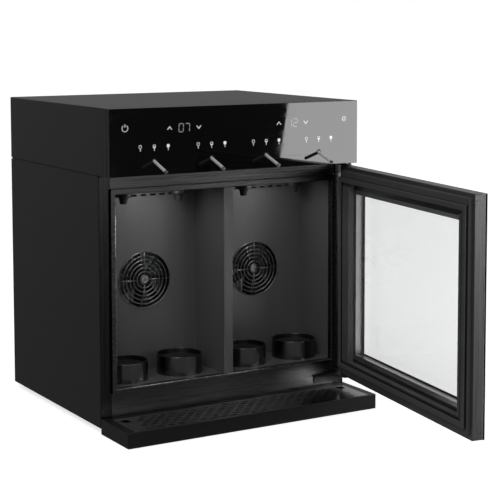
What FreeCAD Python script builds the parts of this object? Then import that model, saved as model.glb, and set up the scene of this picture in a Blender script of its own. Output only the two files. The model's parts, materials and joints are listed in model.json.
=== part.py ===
"""Countertop wine cooler and dispenser for four bottles, two climate zones, glass door and drip tray.

Frame: millimetres, +X to the right as seen from the front, +Y to the back, +Z up. The origin is on the
counter top, under the middle of the cabinet. The door is stored open; it is built closed and then swung.
"""

import FreeCAD, Part
import math
import os

os.makedirs("parts", exist_ok=True)

# ---------------------------------------------------------------- driving dimensions
WIDTH = 540.0
DEPTH = 472.0
HEIGHT = 606.0
CASE_BOTTOM = 11.0
CASE_TOP = 479.5
HOUSING_BOTTOM = 482.0
CASE_SETBACK = 48.0
LIP_PROUD = 6.0
LIP_WIDTH = 9.0
OPENING_SIDE = 238.0
OPENING_BOTTOM = 82.0
OPENING_TOP = 445.0
ROOM_DEPTH = 108.0
DIVIDER_WIDTH = 20.0
SHEET = 1.5
GAP = 0.2

DOOR_LEFT = -256.0
DOOR_RIGHT = 267.0
DOOR_BOTTOM = 52.0
DOOR_TOP = 475.0
DOOR_FACE_SETBACK = 3.0
OUTER_PANE = 4.0
DOOR_FRAME_DEPTH = 20.0
WINDOW_LEFT = -224.0
WINDOW_RIGHT = 204.0
WINDOW_BOTTOM = 90.0
WINDOW_TOP = 444.0
SPACER_WIDTH = 8.0
INNER_PLATE_BOTTOM = 60.0
INNER_PLATE_TOP = 467.0
PIN_X = 257.0
PIN_INSET = 17.0
PIN_RADIUS = 3.5
PIN_CLEARANCE = 0.05
DOOR_REST_ANGLE = 81.5

CUP_X = (-190.0, -73.0, 73.0, 190.0)
CUP_SETBACK = 109.0
CUP_RADIUS = 44.0
CUP_WALL = 2.5
CUP_TOP = 119.0
CUP_BOTTOM = 62.0
PLATFORM_TOP = 110.0
PLATFORM_RADIUS = 41.1
STEM_RADIUS = 6.0

TUBE_X = (-179.0, -59.5, 59.5, 179.0)
TUBE_ROOT_Z = 507.5
TUBE_REACH = 47.0
TUBE_DROP = 16.0
TUBE_RADIUS = 3.0
TUBE_BORE = 2.0

FAN_X = 124.0
FAN_Z = 260.0
FAN_BORE = 56.0
BLADE_RADIUS = 52.0
SHAFT_RADIUS = 1.5
SHAFT_CLEARANCE = 0.05

TRAY_REACH = 69.0
TRAY_HEIGHT = 29.5
TRAY_FLOOR_Z = 1.0
GRILLE_SIDE = 254.0
TONGUE_LEFT = 180.0
TONGUE_RIGHT = 212.0
TONGUE_BOTTOM = 3.2
TONGUE_TOP = 8.0

SWITCH_Z = 104.5
ROCKER_HALF = 5.6

# ---------------------------------------------------------------- derived planes
SIDE = WIDTH / 2
FRONT = -DEPTH / 2
BACK = DEPTH / 2
CASE_FRONT = FRONT + CASE_SETBACK
LIP_FRONT = CASE_FRONT - LIP_PROUD
LIP_SIDE = OPENING_SIDE + LIP_WIDTH
LIP_BOTTOM = OPENING_BOTTOM - LIP_WIDTH
LIP_TOP = OPENING_TOP + LIP_WIDTH + 1.0
ROOM_BACK = CASE_FRONT + ROOM_DEPTH
LINER_FRONT = CASE_FRONT + 6.5
INSULATION_BACK_FRONT = ROOM_BACK + 60.5
COLD_BOX_BACK = INSULATION_BACK_FRONT + 29.5
LINER_END = INSULATION_BACK_FRONT - 1.5
CUP_Y = FRONT + CUP_SETBACK
DOOR_FACE = FRONT + DOOR_FACE_SETBACK
FRAME_FRONT = DOOR_FACE + OUTER_PANE
FRAME_BACK = FRAME_FRONT + DOOR_FRAME_DEPTH
PIN_Y = DOOR_FACE + PIN_INSET
TRAY_FRONT = FRONT - TRAY_REACH
TRAY_BACK = CASE_FRONT - 2.0
GRILLE_FRONT = TRAY_FRONT + 3.0
GRILLE_BACK = TRAY_BACK - 16.0
SWITCH_Y = BACK - 3.0
SLEEVE_SIDE = SIDE - SHEET - GAP


# ---------------------------------------------------------------- helpers
def vec(x, y, z):
    return FreeCAD.Vector(x, y, z)


def box(x0, x1, y0, y1, z0, z1):
    return Part.makeBox(x1 - x0, y1 - y0, z1 - z0, vec(x0, y0, z0))


def rod(centre, axis, radius, length):
    return Part.makeCylinder(radius, length, vec(*centre), vec(*axis))


def tube(centre, axis, outer, inner, length):
    return rod(centre, axis, outer, length).cut(rod(centre, axis, inner, length))


def frame(edge, y0, y1, hole):
    """A rectangular frame facing the front; edge and hole are each (x0, x1, z0, z1)."""
    outer = box(edge[0], edge[1], y0, y1, edge[2], edge[3])
    return outer.cut(box(hole[0], hole[1], y0 - 1, y1 + 1, hole[2], hole[3]))


def fuse(first, *others):
    return first.multiFuse(list(others)).removeSplitter() if others else first


def mirrored(shape):
    return shape.mirror(vec(0, 0, 0), vec(1, 0, 0))


def group(shapes):
    solids = []
    for shape in shapes:
        solids.extend(shape.Solids)
    return Part.makeCompound(solids)


def edges_along(shape, direction, wanted):
    """The straight edges of shape along direction whose middle point passes wanted."""
    found = []
    for edge in shape.Edges:
        if edge.Curve.TypeId != "Part::GeomLine":
            continue
        if abs(edge.tangentAt(edge.FirstParameter).dot(vec(*direction))) < 0.999:
            continue
        if wanted(edge.CenterOfMass):
            found.append(edge)
    return found


def save(name, shape):
    solids = shape.Solids
    shape = solids[0] if len(solids) == 1 else Part.makeCompound(solids)
    if not shape.isValid():
        raise ValueError(name + " is not valid")
    shape.exportStep("parts/" + name + ".step")
    print(name, "solids", len(solids), "volume", round(shape.Volume))


def obround(x, y, z, length, width, height):
    """A slot with round ends, along X, standing on z."""
    half = (length - width) / 2
    radius = width / 2
    front_left, front_right = vec(x - half, y - radius, z), vec(x + half, y - radius, z)
    back_left, back_right = vec(x - half, y + radius, z), vec(x + half, y + radius, z)
    path = [
        Part.LineSegment(front_left, front_right),
        Part.Arc(front_right, vec(x + half + radius, y, z), back_right),
        Part.LineSegment(back_right, back_left),
        Part.Arc(back_left, vec(x - half - radius, y, z), front_left),
    ]
    wire = Part.Wire([piece.toShape() for piece in path])
    return Part.Face(wire).extrude(vec(0, 0, height))


def swung(shape):
    """Turns a door piece from closed to the stored open angle about the hinge pins."""
    turned = shape.copy()
    turned.rotate(vec(PIN_X, PIN_Y, 0), vec(0, 0, 1), DOOR_REST_ANGLE)
    return turned


# ---------------------------------------------------------------- lower case
def side_panel(sign):
    panel = box(SIDE - SHEET, SIDE, CASE_FRONT, BACK, CASE_BOTTOM, CASE_TOP)
    return panel if sign > 0 else mirrored(panel)


def base_pan():
    """The floor pan with its air slots and the two guides that hold the drip tray's tongues."""
    pan = box(-SLEEVE_SIDE, SLEEVE_SIDE, CASE_FRONT + 6.0, BACK - 2.0, CASE_BOTTOM, CASE_BOTTOM + 2.0)
    slots = []
    for row in range(6):
        slots.append(obround(-140.0, 70.0 + row * 22.0, CASE_BOTTOM - 1, 120.0, 8.0, 5.0))
    guide = box(TONGUE_LEFT - 3, TONGUE_RIGHT + 3, -180.0, -124.0, TONGUE_BOTTOM - 1.8, CASE_BOTTOM + 1)
    left, right = TONGUE_LEFT - GAP, TONGUE_RIGHT + GAP
    channel = box(left, right, -181.0, -123.0, TONGUE_BOTTOM - GAP, TONGUE_TOP + GAP)
    guide = guide.cut(channel)
    return fuse(pan.cut(group(slots)), guide, mirrored(guide))


def feet():
    pads = []
    for x in (-215.0, 215.0):
        for y in (-105.0, 190.0):
            foot = rod((x, y, 0), (0, 0, 1), 17.0, CASE_BOTTOM)
            rim = [e for e in foot.Edges if e.CenterOfMass.z < 1 and e.Length > 50]
            pads.append(foot.makeChamfer(1.5, rim))
    return group(pads)


def front_stiles():
    right = SIDE - SHEET - 0.6
    low, high = CASE_BOTTOM + 2.5, CASE_TOP - 0.5
    stile = box(LIP_SIDE + GAP, right, CASE_FRONT + 1.0, CASE_FRONT + 5.0, low, high)
    return group([stile, mirrored(stile)])


def front_rails():
    side = LIP_SIDE - 0.4
    spans = [(CASE_BOTTOM + 2.5, LIP_BOTTOM - GAP), (LIP_TOP + GAP, CASE_TOP - 0.5)]
    return group([box(-side, side, CASE_FRONT + 1.0, CASE_FRONT + 5.0, z0, z1) for z0, z1 in spans])


def opening_lip():
    edge = (-LIP_SIDE, LIP_SIDE, LIP_BOTTOM, LIP_TOP)
    hole = (-OPENING_SIDE, OPENING_SIDE, OPENING_BOTTOM, OPENING_TOP)
    lip = frame(edge, LIP_FRONT, CASE_FRONT + 6.0, hole)
    outer = edges_along(lip, (0, 1, 0), lambda c: abs(c.x) > LIP_SIDE - 0.1)
    lip = lip.makeFillet(3.0, outer)
    front = [
        e
        for e in lip.Edges
        if abs(e.CenterOfMass.y - LIP_FRONT) < 0.01 and abs(e.CenterOfMass.x) <= OPENING_SIDE + 0.1
        and OPENING_BOTTOM - 0.1 <= e.CenterOfMass.z <= OPENING_TOP + 0.1
    ]
    return lip.makeChamfer(1.2, front)


def wall_insulation():
    front = LINER_FRONT - 0.5
    outer = SIDE - SHEET - GAP
    inner = OPENING_SIDE + 1.8
    right = box(inner, outer, front, COLD_BOX_BACK, 15.0, 478.0)
    floor = box(-inner + GAP, inner - GAP, front, COLD_BOX_BACK, 15.0, 38.0)
    ceiling = box(-inner + GAP, inner - GAP, front, COLD_BOX_BACK, 449.0, 478.0)
    stems = [rod((x, CUP_Y, 440.0), (0, 0, 1), 9.6, 50.0) for x in CUP_X]
    back = box(-inner + GAP, inner - GAP, INSULATION_BACK_FRONT, COLD_BOX_BACK, 38.5, 448.5)
    core = DIVIDER_WIDTH / 2 - SHEET - GAP
    divider_core = box(-core, core, LINER_FRONT + GAP, ROOM_BACK - GAP, 84.0 + GAP, 444.0 - GAP)
    return group([right, mirrored(right), floor, ceiling.cut(group(stems)), back, divider_core])


def liner_floor():
    side = OPENING_SIDE - GAP
    plate = box(-side, side, LINER_FRONT, LINER_END, OPENING_BOTTOM - SHEET, OPENING_BOTTOM)
    holes = [rod((x, CUP_Y, 70.0), (0, 0, 1), CUP_RADIUS + 0.2, 20.0) for x in CUP_X]
    return plate.cut(group(holes))


def liner_back():
    side = OPENING_SIDE - GAP
    plate = box(-side, side, ROOM_BACK, ROOM_BACK + SHEET, OPENING_BOTTOM + GAP, 446.6)
    cuts = []
    for sign in (-1, 1):
        cuts.append(rod((sign * FAN_X, ROOM_BACK - 5, FAN_Z), (0, 1, 0), FAN_BORE, 12.0))
        for column in range(9):
            x = sign * FAN_X + (column - 4) * 20.0
            cuts.append(box(x - 6.0, x + 6.0, ROOM_BACK - 2, ROOM_BACK + 4, 424.0, 428.0))
    return plate.cut(group(cuts))


def liner_panels():
    wall = box(OPENING_SIDE, OPENING_SIDE + 1.5, LINER_FRONT, LINER_END, 38.5, 448.6)
    ceiling = box(-OPENING_SIDE + GAP, OPENING_SIDE - GAP, LINER_FRONT, LINER_END, 447.0, 448.5)
    stems = [rod((x, CUP_Y, 440.0), (0, 0, 1), 9.6, 20.0) for x in CUP_X]
    return group([wall, mirrored(wall), ceiling.cut(group(stems))])


def divider():
    """A folded sheet skin, open at the back, round a foam core that belongs to wall_insulation."""
    half = DIVIDER_WIDTH / 2
    wall = box(-half, half, LINER_FRONT, ROOM_BACK - GAP, OPENING_BOTTOM + GAP, 446.6)
    nose = box(-half, half, LIP_FRONT, LINER_FRONT, OPENING_BOTTOM + 0.1, OPENING_TOP - 0.1)
    whole = fuse(wall, nose)
    corners = edges_along(whole, (0, 0, 1), lambda c: abs(c.y - LIP_FRONT) < 0.1)
    whole = whole.makeFillet(1.5, corners)
    return whole.cut(box(-half + SHEET, half - SHEET, LINER_FRONT, ROOM_BACK, 84.0, 444.0))


def deck_plate():
    side = SIDE - SHEET
    plate = box(-side, side, CASE_FRONT + 1.0, BACK - 2.0, CASE_TOP + 0.1, HOUSING_BOTTOM - 0.1)
    stems = [rod((x, CUP_Y, 470.0), (0, 0, 1), 9.6, 20.0) for x in CUP_X]
    return plate.cut(group(stems))


# ---------------------------------------------------------------- circulation fans and cold plates
def fan_guards():
    """Concentric wire rings on a cross of four spokes, in front of each fan."""
    guards = []
    wire = 2.4
    y0 = ROOM_BACK - wire - GAP
    for sign in (-1, 1):
        centre = (sign * FAN_X, y0, FAN_Z)
        parts = [rod(centre, (0, 1, 0), 11.0, wire)]
        for ring in range(5):
            radius = 18.0 + ring * 9.5
            parts.append(tube(centre, (0, 1, 0), radius + wire / 2, radius - wire / 2, wire))
        for turn in range(4):
            spoke = box(9.0, 57.0, 0, wire, -wire / 2, wire / 2)
            spoke.rotate(vec(0, 0, 0), vec(0, 1, 0), 45.0 + 90.0 * turn)
            spoke.translate(vec(*centre))
            parts.append(spoke)
        guards.append(fuse(parts[0], *parts[1:]))
    return group(guards)


def fan_frame_at(x, y0, z, size, bore, depth):
    half = size / 2
    shell = box(x - half, x + half, y0, y0 + depth, z - half, z + half)
    shell = shell.makeFillet(6.0, edges_along(shell, (0, 1, 0), lambda c: True))
    shell = shell.cut(rod((x, y0 - 1, z), (0, 1, 0), bore, depth + 2))
    y1 = y0 + depth
    pieces = [
        rod((x, y1 - 4, z), (0, 1, 0), 20.0, 4.0),
        box(x - 2.5, x + 2.5, y1 - 4, y1, z - half + 1, z + half - 1),
        box(x - half + 1, x + half - 1, y1 - 4, y1, z - 2.5, z + 2.5),
    ]
    return fuse(shell, *pieces).cut(rod((x, y1 - 5, z), (0, 1, 0), SHAFT_RADIUS + SHAFT_CLEARANCE, 6.0))


def fan_frames():
    start = ROOM_BACK + SHEET + GAP
    return group([fan_frame_at(x, start, FAN_Z, 120.0, FAN_BORE, 25.0) for x in (-FAN_X, FAN_X)])


def fan_rotor(x, y0, z, radius, depth):
    """A hub with seven blades turning about Y, on a short shaft that enters the bearing behind it."""
    hub = rod((x, y0, z), (0, 1, 0), 19.0, depth)
    blades = []
    for number in range(7):
        blade = box(0, radius, -1.0, 1.0, -9.0, 9.0)
        blade.rotate(vec(0, 0, 0), vec(1, 0, 0), 55.0)
        blade = blade.common(box(14.0, radius, -depth / 2, depth / 2, -20.0, 20.0))
        blade.rotate(vec(0, 0, 0), vec(0, 1, 0), number * 360.0 / 7)
        blade.translate(vec(x, y0 + depth / 2, z))
        blades.append(blade)
    rotor = fuse(hub, *blades).common(rod((x, y0, z), (0, 1, 0), radius, depth))
    return fuse(rotor, rod((x, y0 + depth - 1, z), (0, 1, 0), SHAFT_RADIUS, 5.5))


def evaporators():
    plate_front = INSULATION_BACK_FRONT - 8.5
    shapes = []
    for sign in (-1, 1):
        x = sign * FAN_X
        fins = [box(x - 90.0, x + 90.0, plate_front, INSULATION_BACK_FRONT - GAP, 130.0, 390.0)]
        for number in range(19):
            fin_x = x - 90.0 + number * 10.0
            fins.append(box(fin_x - 0.6, fin_x + 0.6, plate_front - 20.0, plate_front + 1.0, 130.0, 390.0))
        fins[1].translate(vec(0.6, 0, 0))
        fins[-1].translate(vec(-0.6, 0, 0))
        shapes.append(fuse(fins[0], *fins[1:]))
    return group(shapes)


# ---------------------------------------------------------------- bottle lifters
def lifter_cups():
    cups = []
    for x in CUP_X:
        cup = rod((x, CUP_Y, CUP_BOTTOM), (0, 0, 1), CUP_RADIUS, CUP_TOP - CUP_BOTTOM)
        hollow = rod((x, CUP_Y, CUP_BOTTOM + 3), (0, 0, 1), CUP_RADIUS - CUP_WALL, CUP_TOP - CUP_BOTTOM)
        cup = cup.cut(hollow)
        cup = cup.cut(rod((x, CUP_Y, CUP_BOTTOM - 1), (0, 0, 1), STEM_RADIUS + 0.06, 10.0))
        rim = [e for e in cup.Edges if abs(e.CenterOfMass.z - CUP_TOP) < 0.01]
        cups.append(cup.makeFillet(0.8, rim))
    return group(cups)


def lifter_platform(x):
    disc = rod((x, CUP_Y, PLATFORM_TOP - 6), (0, 0, 1), PLATFORM_RADIUS, 6.0)
    for ring in range(3):
        radius = 14.0 + ring * 10.0
        disc = disc.cut(tube((x, CUP_Y, PLATFORM_TOP - 0.8), (0, 0, 1), radius + 1, radius - 1, 2.0))
    stem = rod((x, CUP_Y, CUP_BOTTOM - 3), (0, 0, 1), STEM_RADIUS, PLATFORM_TOP - 5 - CUP_BOTTOM + 3)
    return fuse(disc, stem)


def lifter_spring(x):
    """A round-wire spring around the stem, between the cup's floor and the platform."""
    bottom = CUP_BOTTOM + 3.0 + 0.9
    top = PLATFORM_TOP - 6.0 - 0.9
    radius = 11.0
    turns = 5
    steps = 8
    points = []
    for step in range(turns * steps + 1):
        angle = 2 * math.pi * step / steps
        height = bottom + (top - bottom) * step / (turns * steps)
        points.append(vec(x + radius * math.cos(angle), CUP_Y + radius * math.sin(angle), height))
    line = Part.BSplineCurve()
    line.interpolate(points)
    start = Part.makeCircle(0.8, points[0], line.tangent(line.FirstParameter)[0])
    return Part.Wire([line.toShape()]).makePipeShell([Part.Wire([start])], True, True)


def dispense_heads():
    heads = []
    for x in CUP_X:
        head = rod((x, CUP_Y, 431.0), (0, 0, 1), 16.0, 15.8)
        head = head.makeFillet(2.0, [e for e in head.Edges if e.CenterOfMass.z < 432])
        heads.append(fuse(head, rod((x, CUP_Y, 446.0), (0, 0, 1), 9.0, 46.0)))
    return group(heads)


def bottle_seals():
    return group([Part.makeCone(6.5, 9.2, 12.8, vec(x, CUP_Y, 418.0), vec(0, 0, 1)) for x in CUP_X])


def led_strips():
    bars = []
    for sign in (-1, 1):
        x = sign * FAN_X
        bars.append(box(x - 95.0, x + 95.0, LINER_FRONT + 3.0, LINER_FRONT + 11.0, 445.2, 446.8))
    return group(bars)


# ---------------------------------------------------------------- top housing
def top_cover():
    outer = box(-SIDE, SIDE, FRONT + 24.2, BACK, HOUSING_BOTTOM, HEIGHT)
    long_edges = edges_along(outer, (0, 1, 0), lambda c: c.z > HEIGHT - 1)
    outer = outer.makeFillet(2.0, long_edges)
    inner = box(-SIDE + SHEET, SIDE - SHEET, FRONT, BACK + 1, HOUSING_BOTTOM - 1, HEIGHT - SHEET)
    return outer.cut(inner)


def front_bezel():
    """A hollow frame behind the glass, with a groove round it and a floor over the top of the door."""
    y0 = FRONT + 5.0
    y1 = FRONT + 24.0
    shell = box(-SIDE, SIDE, y0, y1, HOUSING_BOTTOM, HEIGHT)
    shell = shell.cut(box(-SIDE + 3, SIDE - 3, y0 - 1, y1 + 1, HOUSING_BOTTOM + 3, HEIGHT - 3))
    outside = (-SIDE - 1, SIDE + 1, HOUSING_BOTTOM - 1, HEIGHT + 1)
    core = (-SIDE + 1.2, SIDE - 1.2, HOUSING_BOTTOM + 1.2, HEIGHT - 1.2)
    groove = frame(outside, FRONT + 11.0, FRONT + 12.5, core)
    floor = box(-SIDE + 2.0, SIDE - 2.0, y1 - 1, CASE_FRONT + 0.8, HOUSING_BOTTOM, HOUSING_BOTTOM + 2.5)
    return fuse(shell.cut(groove), floor)


def glass_panel():
    pane = box(-SIDE, SIDE, FRONT, FRONT + 4.8, HOUSING_BOTTOM, HEIGHT)
    pane = pane.makeChamfer(0.6, [e for e in pane.Edges if abs(e.CenterOfMass.y - FRONT) < 0.01])
    holes = [rod((x, FRONT - 1, TUBE_ROOT_Z + 0.8), (0, 1, 0), 4.6, 8.0) for x in TUBE_X]
    return pane.cut(group(holes))


def touch_board():
    board = box(-255.0, 255.0, FRONT + 6.6, FRONT + 8.2, 522.0, 600.0)
    displays = []
    for x in (-117.0, 117.0):
        displays.append(box(x - 18.0, x + 18.0, FRONT + 5.0, FRONT + 7.0, 558.0, 577.0))
    return fuse(board, *displays)


def dispensing_tubes():
    """Each tube runs level from its valve and bends down just behind the glass."""
    slope = TUBE_DROP / TUBE_REACH
    bend_y = FRONT + 14.0
    level = TUBE_ROOT_Z + slope * 14.0
    turn = math.atan(slope)
    bend_radius = 18.0
    trim = bend_radius * math.tan(turn / 2)
    tubes = []
    for x in TUBE_X:
        start = vec(x, -145.0, level)
        corner = vec(x, bend_y, level)
        tip = vec(x, FRONT - TUBE_REACH, TUBE_ROOT_Z - TUBE_DROP)
        down = (tip - corner).normalize()
        bend_in = corner + vec(0, trim, 0)
        bend_out = corner + down * trim
        middle_angle = turn / 2
        centre = bend_in + vec(0, 0, -bend_radius)
        middle = centre + vec(0, -math.sin(middle_angle), math.cos(middle_angle)) * bend_radius
        path = Part.Wire(
            [
                Part.LineSegment(start, bend_in).toShape(),
                Part.Arc(bend_in, middle, bend_out).toShape(),
                Part.LineSegment(bend_out, tip).toShape(),
            ]
        )
        bodies = []
        for radius in (TUBE_RADIUS, TUBE_BORE):
            ring = Part.Wire([Part.makeCircle(radius, start, vec(0, 1, 0))])
            bodies.append(path.makePipeShell([ring], True, True))
        tubes.append(bodies[0].cut(bodies[1]))
    return group(tubes)


def dispense_valves():
    valves = []
    for cup_x, tube_x in zip(CUP_X, TUBE_X):
        x = (cup_x + tube_x) / 2
        body = box(x - 19.0, x + 19.0, -144.8, -104.0, 492.2, 526.0)
        coil = rod((x, -124.0, 525.0), (0, 0, 1), 13.0, 26.0)
        valves.append(fuse(body, coil))
    return group(valves)


def gas_regulator():
    """The manifold bar behind the valves, its four short gas pipes and the pressure regulator."""
    pieces = [box(-205.0, 205.0, -62.0, -42.0, 500.0, 520.0)]
    for cup_x, tube_x in zip(CUP_X, TUBE_X):
        x = (cup_x + tube_x) / 2
        pieces.append(rod((x, -103.8, 510.0), (0, 1, 0), 3.0, 43.0))
    pieces.append(rod((0, -43.0, 510.0), (0, 1, 0), 5.0, 30.0))
    for x in (-190.0, 190.0):
        pieces.append(box(x - 8.0, x + 8.0, -60.0, -44.0, HOUSING_BOTTOM, 501.0))
    pieces.append(rod((0, 0, HOUSING_BOTTOM), (0, 0, 1), 20.0, 52.0))
    pieces.append(rod((0, 0, 534.0), (0, 0, 1), 12.0, 16.0))
    pieces.append(rod((0, 15.0, 510.0), (0, 1, 0), 4.0, 190.0))
    return fuse(pieces[0], *pieces[1:])


def gas_inlet_fitting():
    """A push-in fitting for 8 mm gas hose, through the back of the top housing."""
    y0 = 205.2
    body = rod((0, y0, 510.0), (0, 1, 0), 7.5, BACK + 14.0 - y0)
    flange = rod((0, BACK + 0.2, 510.0), (0, 1, 0), 12.0, 5.0)
    fitting = fuse(body, flange)
    return fitting.cut(rod((0, BACK - 4.0, 510.0), (0, 1, 0), 4.1, 40.0))


def control_board():
    board = box(-215.0, -60.0, 60.0, 180.0, 490.0, 491.6)
    corners = [(x, y) for x in (-208.0, -67.0) for y in (67.0, 173.0)]
    posts = [rod((x, y, HOUSING_BOTTOM), (0, 0, 1), 3.0, 8.5) for x, y in corners]
    chips = [
        box(-200.0, -170.0, 80.0, 110.0, 491.0, 508.0),
        box(-150.0, -120.0, 120.0, 160.0, 491.0, 514.0),
        box(-105.0, -80.0, 75.0, 115.0, 491.0, 500.0),
    ]
    return fuse(board, *posts, *chips)


def power_supply():
    case = box(60.0, 210.0, 60.0, 170.0, HOUSING_BOTTOM, 522.0)
    ribs = [box(68.0 + n * 18.0, 76.0 + n * 18.0, 66.0, 164.0, 519.0, 523.0) for n in range(8)]
    return case.cut(group(ribs))


# ---------------------------------------------------------------- rear
def rear_cover():
    cover = box(-SLEEVE_SIDE, SLEEVE_SIDE, BACK - 1.7, BACK - 0.2, 14.0, CASE_TOP - 0.5)
    cuts = []
    for row in range(12):
        z = 78.0 + row * 10.0
        cuts.append(box(70.0, 190.0, BACK - 5, BACK + 5, z, z + 5.0))
        cuts.append(box(-200.0, -90.0, BACK - 5, BACK + 5, z + 190.0, z + 195.0))
    cuts.append(box(-214.0, -186.0, BACK - 5, BACK + 5, 60.0, 80.4))
    cuts.append(box(-214.0, -186.0, BACK - 5, BACK + 5, 95.0, 114.0))
    return cover.cut(group(cuts))


def housing_rear_cover():
    cover = box(-SLEEVE_SIDE, SLEEVE_SIDE, BACK - 1.7, BACK - 0.2, HOUSING_BOTTOM, HEIGHT - SHEET - GAP)
    cuts = [rod((0, BACK - 5, 510.0), (0, 1, 0), 7.6, 10.0)]
    for number in range(14):
        x = 70.0 + number * 12.0
        cuts.append(box(x, x + 5.0, BACK - 5, BACK + 5, 550.0, 585.0))
    return cover.cut(group(cuts))


def power_inlet():
    """A three-pole appliance inlet above which the mains switch sits in the same moulding."""
    body = box(-213.6, -186.4, BACK - 24.0, BACK + 3.0, 60.4, 80.0)
    flange = box(-219.0, -181.0, BACK, BACK + 3.0, 54.0, 120.0)
    switch_well = box(-213.6, -186.4, BACK - 20.0, BACK + 3.0, 95.4, 113.6)
    whole = fuse(body, flange, switch_well)
    whole = whole.cut(box(-211.6, -188.4, BACK - 14.0, BACK + 5.0, 62.4, 78.0))
    pins = [box(x - 1.0, x + 1.0, BACK - 16.0, BACK - 1.0, 68.0, 72.0) for x in (-207.0, -200.0, -193.0)]
    whole = fuse(whole, *pins)
    whole = whole.cut(box(-209.5, -190.5, BACK - 12.0, BACK + 5.0, 97.0, 112.0))
    return whole.cut(rod((-212.2, SWITCH_Y, SWITCH_Z), (1, 0, 0), SHAFT_RADIUS + SHAFT_CLEARANCE, 24.4))


def switch_rocker():
    """The rocker turns on a pin along X; its lower half stands out until it is pressed."""
    pin = rod((-211.7, SWITCH_Y, SWITCH_Z), (1, 0, 0), SHAFT_RADIUS, 23.4)
    outline = [
        vec(-207.5, SWITCH_Y + 6.2, SWITCH_Z + ROCKER_HALF),
        vec(-207.5, SWITCH_Y + 5.0, SWITCH_Z),
        vec(-207.5, SWITCH_Y + 8.0, SWITCH_Z - ROCKER_HALF),
        vec(-207.5, SWITCH_Y - 1.5, SWITCH_Z - 3.0),
        vec(-207.5, SWITCH_Y - 1.5, SWITCH_Z + 3.0),
    ]
    wedge = Part.Face(Part.makePolygon(outline + [outline[0]])).extrude(vec(15.0, 0, 0))
    return fuse(wedge, pin)


# ---------------------------------------------------------------- cooling machine
def compressor():
    x, y = -140.0, 130.0
    can = rod((x, y, 27.0), (0, 0, 1), 62.0, 120.0)
    can = can.makeFillet(24.0, [e for e in can.Edges if e.CenterOfMass.z > 100 and e.Length > 100])
    plate = box(x - 82.0, x + 82.0, y - 55.0, y + 55.0, 24.0, 28.0)
    corners = [(x + dx, y + dy) for dx in (-70.0, 70.0) for dy in (-42.0, 42.0)]
    legs = [rod((leg_x, leg_y, CASE_BOTTOM + 2.0), (0, 0, 1), 9.0, 12.0) for leg_x, leg_y in corners]
    stub = rod((x + 20.0, y, 140.0), (0, 0, 1), 4.0, 60.0)
    return fuse(can, plate, stub, *legs)


def condenser():
    x0, x1 = 60.0, 200.0
    pieces = [box(x0, x1, 110.0, 150.0, CASE_BOTTOM + 2.0, 20.0), box(x0, x1, 110.0, 150.0, 198.0, 202.0)]
    for number in range(15):
        fin_x = x0 + number * (x1 - x0 - 1.0) / 14.0
        pieces.append(box(fin_x, fin_x + 1.0, 110.0, 150.0, 19.0, 199.0))
    return fuse(pieces[0], *pieces[1:])


def condenser_fan_frame():
    housing = fan_frame_at(130.0, 180.0, 138.0, 130.0, 60.0, 28.0)
    bracket = frame((75.0, 185.0, CASE_BOTTOM + 2.0, 76.0), 182.0, 204.0, (79.0, 181.0, 17.0, 72.0))
    return fuse(housing, bracket)


# ---------------------------------------------------------------- door, built closed
def door_frame():
    edge = (DOOR_LEFT, DOOR_RIGHT, DOOR_BOTTOM, DOOR_TOP)
    hole = (WINDOW_LEFT - 6.0, WINDOW_RIGHT + 6.0, WINDOW_BOTTOM - 6.0, WINDOW_TOP + 6.0)
    bars = frame(edge, FRAME_FRONT + 0.1, FRAME_BACK, hole)
    corners = edges_along(bars, (0, 1, 0), lambda c: abs(c.x) > 250)
    bars = bars.makeFillet(1.5, corners)
    bushes = [rod((PIN_X, PIN_Y, z), (0, 0, 1), 5.5, 30.0) for z in (DOOR_TOP - 22.0, DOOR_BOTTOM - 8.0)]
    plug = rod((DOOR_LEFT + 14.0, (FRAME_FRONT + FRAME_BACK) / 2, DOOR_TOP - 8.0), (0, 0, 1), 3.2, 10.0)
    return bars.cut(group(bushes + [plug]))


def grown(amount):
    """The opening lip's outline, moved out by amount on every side."""
    return (-LIP_SIDE - amount, LIP_SIDE + amount, LIP_BOTTOM - amount, LIP_TOP + amount)


def door_inner_frame():
    """The plate behind the glass: it carries the gasket and has a raised rim at the window's sides."""
    hole = (WINDOW_LEFT, WINDOW_RIGHT, WINDOW_BOTTOM, WINDOW_TOP)
    edge = (-LIP_SIDE - 0.5, LIP_SIDE + 0.5, INNER_PLATE_BOTTOM, INNER_PLATE_TOP)
    base = frame(edge, FRAME_BACK, FRAME_BACK + 8.0, hole)
    rim = frame(grown(-16.5), FRAME_BACK + 7, FRAME_BACK + 13.0, hole)
    return fuse(base, rim)


def door_gasket():
    """A rubber ring with a groove all round its outer edge, as on a bellows seal."""
    ring = frame(grown(0.5), FRAME_BACK + 8.0, LIP_FRONT - 0.5, grown(-10.5))
    groove = frame(grown(2.5), FRAME_BACK + 10.0, FRAME_BACK + 12.0, grown(-1.5))
    return ring.cut(groove)


def door_glass_outer():
    pane = box(DOOR_LEFT, DOOR_RIGHT, DOOR_FACE, FRAME_FRONT, DOOR_BOTTOM, DOOR_TOP)
    return pane.makeChamfer(0.5, [e for e in pane.Edges if abs(e.CenterOfMass.y - DOOR_FACE) < 0.01])


def door_glass_inner():
    left, right = WINDOW_LEFT - 5, WINDOW_RIGHT + 5
    return box(left, right, FRAME_BACK - 4.2, FRAME_BACK - 0.2, WINDOW_BOTTOM - 5, WINDOW_TOP + 5)


def glass_spacer():
    """The bar between the two panes, set in from the edge of the window."""
    edge = (WINDOW_LEFT + 11, WINDOW_RIGHT + 4, WINDOW_BOTTOM + 6, WINDOW_TOP - 12)
    inset = SPACER_WIDTH
    hole = (edge[0] + inset, edge[1] - inset, edge[2] + inset, edge[3] - inset)
    return frame(edge, FRAME_FRONT + 0.1, FRAME_BACK - 4.2, hole)


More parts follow.
